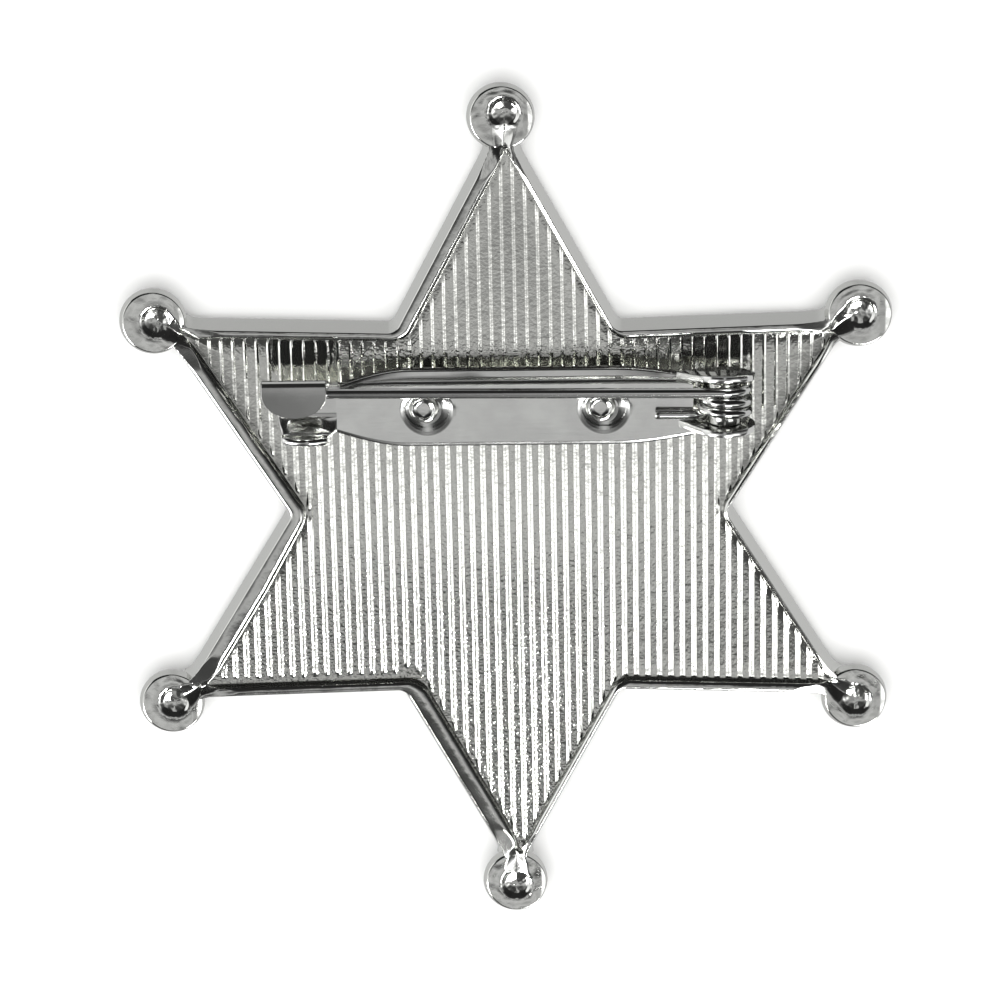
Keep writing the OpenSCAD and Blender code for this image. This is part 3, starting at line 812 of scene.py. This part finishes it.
# %% Wire helper
def swept(path, radius, sides=24):
    """Circles of the given radii across a path of points, shut at both ends."""
    path = np.array(path, float)
    run = np.gradient(path, axis=0)
    run /= np.linalg.norm(run, axis=1)[:, None]
    side = np.cross(run, [0, 1, 0])
    side /= np.linalg.norm(side, axis=1)[:, None]
    top = np.cross(side, run)
    a = np.linspace(0, 2 * np.pi, sides, endpoint=False)
    r = np.broadcast_to(radius, len(path))[:, None, None]
    ring = np.cos(a)[None, :, None] * side[:, None] + np.sin(a)[None, :, None] * top[:, None]
    return tube(path[:, None] + r * ring)


# %% [markdown]
# ## Pin
# One length of spring wire makes the pin: a straight stem with a ground point,
# almost three turns of coil, and a tail that bears on the bar.

# %% Path of the coil
wire_r, coil_r = 0.375, 1.655
coil = np.array([16.1, 10.43, 5.55])
drop = math.radians(1.8)
stem_l, point_l, pitch, turns = 33.0, 3.0, 0.79, 2.7


def coil_path(turn):
    """Turns counted from the stem: half a turn in the stem's plane, then a drop
    of one pitch by the end of the first, then an even helix."""
    a = 2 * np.pi * turn - drop
    first = (1 - np.cos(np.pi * np.clip(2 * turn - 1, 0, 1))) / 2
    y = coil[1] - pitch * np.where(turn < 1, first, turn)
    return np.stack([coil[0] + coil_r * np.sin(a), y, coil[2] + coil_r * np.cos(a)], axis=-1)


print("coil holds", round(2 * math.pi * coil_r * turns, 1), "mm of wire")


# %% Pin wire
def pin_path():
    """Stem from its point to the coil, the coil, a cubic curve down to the bar,
    and the tail. The point tapers as a power of the distance from its end."""
    point = np.append([stem_l, stem_l - 0.03], np.linspace(stem_l - 0.15, stem_l - point_l, 14))
    s = np.append(point, np.linspace(stem_l - point_l - 0.4, 0.3, 60))
    stem = np.stack([
        coil[0] - coil_r * math.sin(drop) - s * math.cos(drop),
        np.full_like(s, coil[1]),
        coil[2] + coil_r * math.cos(drop) - s * math.sin(drop),
    ], axis=-1)
    winding = coil_path(np.linspace(0, turns, 190))
    foot = winding[-1]
    a = 2 * math.pi * turns - drop
    leave = np.array([math.cos(a), 0, -math.sin(a)])
    land = np.array([bar_x + bar_right - 0.35, foot[1], bar_face + wire_r + 0.03])
    t = np.linspace(0, 1, 12)[1:, None]
    pull, enter = foot + 0.35 * leave, land + [0.35, 0, 0]
    bend = (1 - t) ** 3 * foot + 3 * t * (1 - t) ** 2 * pull
    bend = bend + 3 * t ** 2 * (1 - t) * enter + t ** 3 * land
    out = np.linspace(0.3, 2.3, 10)[:, None]
    tail = land + out * [-1, 0, 0]
    ends = tail[-1] + np.array([[-0.1, 0, 0], [-0.16, 0, 0]])
    path = np.concatenate([stem, winding, bend, tail, ends])
    radius = np.full(len(path), wire_r)
    radius[:len(point)] = wire_r * np.clip((stem_l - point) / point_l, 0.04, 1) ** 0.8
    radius[-3:] = wire_r * np.array([1, 0.85, 0.5])
    return path, radius


pin_wire = make_piece("pin_wire", [swept(*pin_path())], wire_metal, "spring_wire", body="pin")

# %% [markdown]
# ## Ears and hinge pin
# The coil sits between two ears of the bar, on a short rivet. An ear is a flat
# outline with a rounded edge: a ring of points round the coil's axis and back to
# the bar, carried through the thickness. The upper ear was bent out a little when
# the rivet was set.

# %% Ears
ear_r = 2.23


def ear(y, lean, thick=0.5, bevel=0.1):
    """Round end about the coil's axis with straight flanks down to the bar, as
    six rings through the thickness whose outer two are drawn in by the bevel. Above
    the bar it leans outwards by a share of the height."""
    centre = np.array([coil[0], coil[2]])
    roots = np.array([[12.6, bar_face - 0.55], [12.6, bar_face - 0.05]])
    v = roots - centre
    far = np.linalg.norm(v, axis=1)
    turn = np.arctan2(v[:, 1], v[:, 0]) + np.array([1, -1]) * np.arccos(ear_r / far)
    turn = np.where(turn < 0, turn + 2 * np.pi, turn)
    a = np.linspace(turn[0], turn[1] + (2 * np.pi if turn[1] < turn[0] else 0), 60)
    ring = centre + ear_r * np.stack([np.cos(a), np.sin(a)], axis=1)
    k = np.linspace(0, 1, 8)[1:, None]
    down, back = ring[-1] + (roots[1] - ring[-1]) * k, roots[0] + (ring[0] - roots[0]) * k[:-1]
    outline = np.concatenate([ring, down, back])
    middle = outline.mean(axis=0)
    away = outline - middle
    soft = 0.3 * bevel
    rows = []
    for depth, pull in (
        (0, bevel), (soft, soft), (bevel, 0),
        (thick - bevel, 0), (thick - soft, soft), (thick, bevel),
    ):
        inner = middle + away * (1 - pull / np.linalg.norm(away, axis=1))[:, None]
        out = y + depth + lean * np.maximum(inner[:, 1] - bar_face, 0)
        rows.append(np.stack([inner[:, 0], out, inner[:, 1]], axis=1))
    return tube(np.array(rows))


coil_ears = make_piece(
    "coil_ears", [ear(10.875, 0.14), ear(7.255, -0.03)], pressed_metal, "bar_nickel"
)

# %% Hinge pin
axle = rounded([
    (0.0, 6.83), (0.4, 6.88), (0.8, 7.05), (0.88, 7.22), (0.72, 7.24), (0.72, 7.78),
    (1.2, 7.8), (1.2, 10.86), (0.72, 10.88), (0.72, 11.42), (0.7, 11.5), (0.6, 11.56),
    (0.3, 11.58), (0.0, 11.58),
], 0.08, 4)
hinge_pin = make_piece(
    "hinge_pin", [turned(axle, 48, (coil[0], 0, coil[2]), axis="y")], tumbled_metal, "bar_nickel"
)

# %% [markdown]
# ## Pieces and CAD nodes
# The new surfaces stand for the plain solids of the frame. The wire is one mesh
# for two nodes, taken off its body and left fixed where it lies.

# %% Stand for the CAD nodes
for piece in (star_border, star_floor, ball_tips, rivet_posts):
    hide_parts("star_body")
for piece in (bar_pressing, catch_hook, guard_lip, coil_ears):
    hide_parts("bar_plate")
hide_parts("hinge_rivet")
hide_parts("pin_stem", "spring_coil")
pin_wire.parent = None
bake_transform(pin_wire)

# %% [markdown]
# ## Floor and light
# Polished metal shows its surroundings, so the studio is built for what it
# reflects: bands of grey from the front of the sky to its back, white to the left
# and right, a plain grey table below the horizon, and two soft boxes. The white
# paper under the badge is lit by a third box alone, and the metal mirrors neither
# the paper nor that box.

# %% Floor
floor_mesh = bpy.data.meshes.new("studio_floor")
floor_mesh.from_pydata([(-1, -1, 0), (1, -1, 0), (1, 1, 0), (-1, 1, 0)], [], [(0, 1, 2, 3)])
paper = bpy.data.materials.new("white_paper")
paper.use_nodes = True
paper.node_tree.nodes["Principled BSDF"].inputs["Base Color"].default_value = (0.9, 0.9, 0.89, 1)
paper.node_tree.nodes["Principled BSDF"].inputs["Roughness"].default_value = 0.9
floor_mesh.materials.append(paper)
studio_floor = bpy.data.objects.new("studio_floor", floor_mesh)
bpy.context.collection.objects.link(studio_floor)
studio_floor.visible_glossy = False


# %% World
world = bpy.data.worlds.new("studio")
bpy.context.scene.world = world
world.use_nodes = True
world.cycles_visibility.diffuse = False
nodes, links = world.node_tree.nodes, world.node_tree.links
direction = nodes.new("ShaderNodeSeparateXYZ")
links.new(nodes.new("ShaderNodeTexCoord").outputs["Generated"], direction.inputs[0])


def ramp(value, stops):
    """Smooth curve through (part of the direction, level) pairs."""
    half = nodes.new("ShaderNodeMath")
    half.operation = "MULTIPLY_ADD"
    links.new(value, half.inputs[0])
    half.inputs[1].default_value = half.inputs[2].default_value = 0.5
    curve = nodes.new("ShaderNodeValToRGB")
    links.new(half.outputs[0], curve.inputs[0])
    curve.color_ramp.interpolation = "EASE"
    while len(curve.color_ramp.elements) < len(stops):
        curve.color_ramp.elements.new(0.5)
    for element, (part, level) in zip(curve.color_ramp.elements, stops):
        element.position = part / 2 + 0.5
        element.color = (level, level, level, 1)
    return curve.outputs[0]


def blend(share, a, b):
    """Colour a where the share is 0, b where it is 1, and a mix between."""
    mix = nodes.new("ShaderNodeMix")
    mix.data_type = "RGBA"
    for value, socket in zip((share, a, b), (mix.inputs[0], mix.inputs[6], mix.inputs[7])):
        links.new(value, socket)
    return mix.outputs[2]


print("world", world.name)

# %% [markdown]
# Each ramp below is a curve over one part of the direction that a mirrored ray
# takes: X is 1 towards the right, Y is 1 towards the upper tip, Z is 1 straight
# up. The first four give the grey of a strip of the sky over Y, and the fifth that
# of the table over X. The others say where over X a strip gives way to the next,
# and where over Z the table begins.

# %% Sky
x, y, z = (direction.outputs[k] for k in range(3))
middle = ramp(y, [
    (-0.95, 0.1), (-0.82, 0.42), (-0.58, 0.4), (-0.46, 0.1), (-0.385, 0.08), (-0.36, 0.33),
    (-0.345, 0.52), (-0.31, 0.7), (-0.275, 0.6), (-0.25, 0.43), (-0.22, 0.33), (-0.18, 0.28),
    (-0.09, 0.28), (-0.02, 0.64), (0.28, 0.6), (0.38, 0.1), (0.45, 0.025),
])
beside_middle = ramp(y, [
    (-0.95, 0.04), (-0.6, 0.07), (-0.4, 0.06), (-0.355, 0.1), (-0.33, 0.3), (-0.3, 0.5),
    (-0.25, 0.5), (-0.2, 0.34), (-0.14, 0.13), (0.0, 0.06), (0.2, 0.025),
])
side_white = ramp(y, [
    (-0.95, 0.03), (-0.6, 0.1), (-0.48, 1.0), (-0.42, 1.9), (-0.31, 1.9), (-0.27, 1.1),
    (-0.22, 0.7), (-0.12, 0.35), (0.0, 0.12), (0.15, 0.02),
])
far_left = ramp(y, [(-1, 0.2), (-0.5, 0.8), (0.2, 1.2), (0.5, 1.0), (0.7, 0.2), (1, 0.0)])
table = ramp(x, [(-1, 0.66), (-0.3, 0.6), (0, 0.52), (0.3, 0.58), (1, 0.7)])

in_middle = ramp(x, [
    (-0.15, 0), (-0.10, 0.35), (-0.06, 0.9), (-0.03, 1), (0.0, 0.85), (0.04, 0.35), (0.08, 0),
])
at_sides = ramp(x, [
    (-0.9, 0), (-0.82, 1), (-0.48, 1), (-0.36, 0), (0.32, 0), (0.44, 1), (0.74, 1), (0.82, 0),
])
colour = blend(in_middle, beside_middle, middle)
colour = blend(at_sides, colour, side_white)
colour = blend(ramp(x, [(-0.86, 1), (-0.78, 0)]), colour, far_left)
colour = blend(ramp(z, [(-0.12, 1), (-0.02, 0)]), colour, table)
links.new(colour, nodes["Background"].inputs["Color"])
print("sky", len(nodes), "nodes")


# %% Soft boxes
def soft_box(name, direction, far, size, power):
    """Square area light at far metres in that direction, facing the badge."""
    light = bpy.data.lights.new(name, "AREA")
    light.size = size
    light.energy = power
    lamp = bpy.data.objects.new(name, light)
    bpy.context.collection.objects.link(lamp)
    back = np.array(direction, float)
    back /= np.linalg.norm(back)
    x = np.cross([0, 1, 0.2], back)
    x /= np.linalg.norm(x)
    lamp.matrix_world = Matrix.Translation(back * far) @ Matrix(
        [list(row) for row in np.stack([x, np.cross(back, x), back], axis=1)]
    ).to_4x4()
    return lamp


box_left = soft_box("box_left", (-0.67, -0.51, 0.54), 0.5, 0.17, 1.3)
box_right = soft_box("box_right", (0.22, -0.60, 0.77), 0.5, 0.17, 1.3)
box_left.visible_diffuse = box_right.visible_diffuse = False
fill_above = soft_box("fill_above", (0.0, 0.02, 1.0), 0.7, 1.2, 13.0)
fill_above.visible_glossy = False
view = bpy.context.scene.view_settings
view.view_transform = "Standard"
print("lamps", [lamp.name for lamp in (box_left, box_right, fill_above)], view.view_transform)
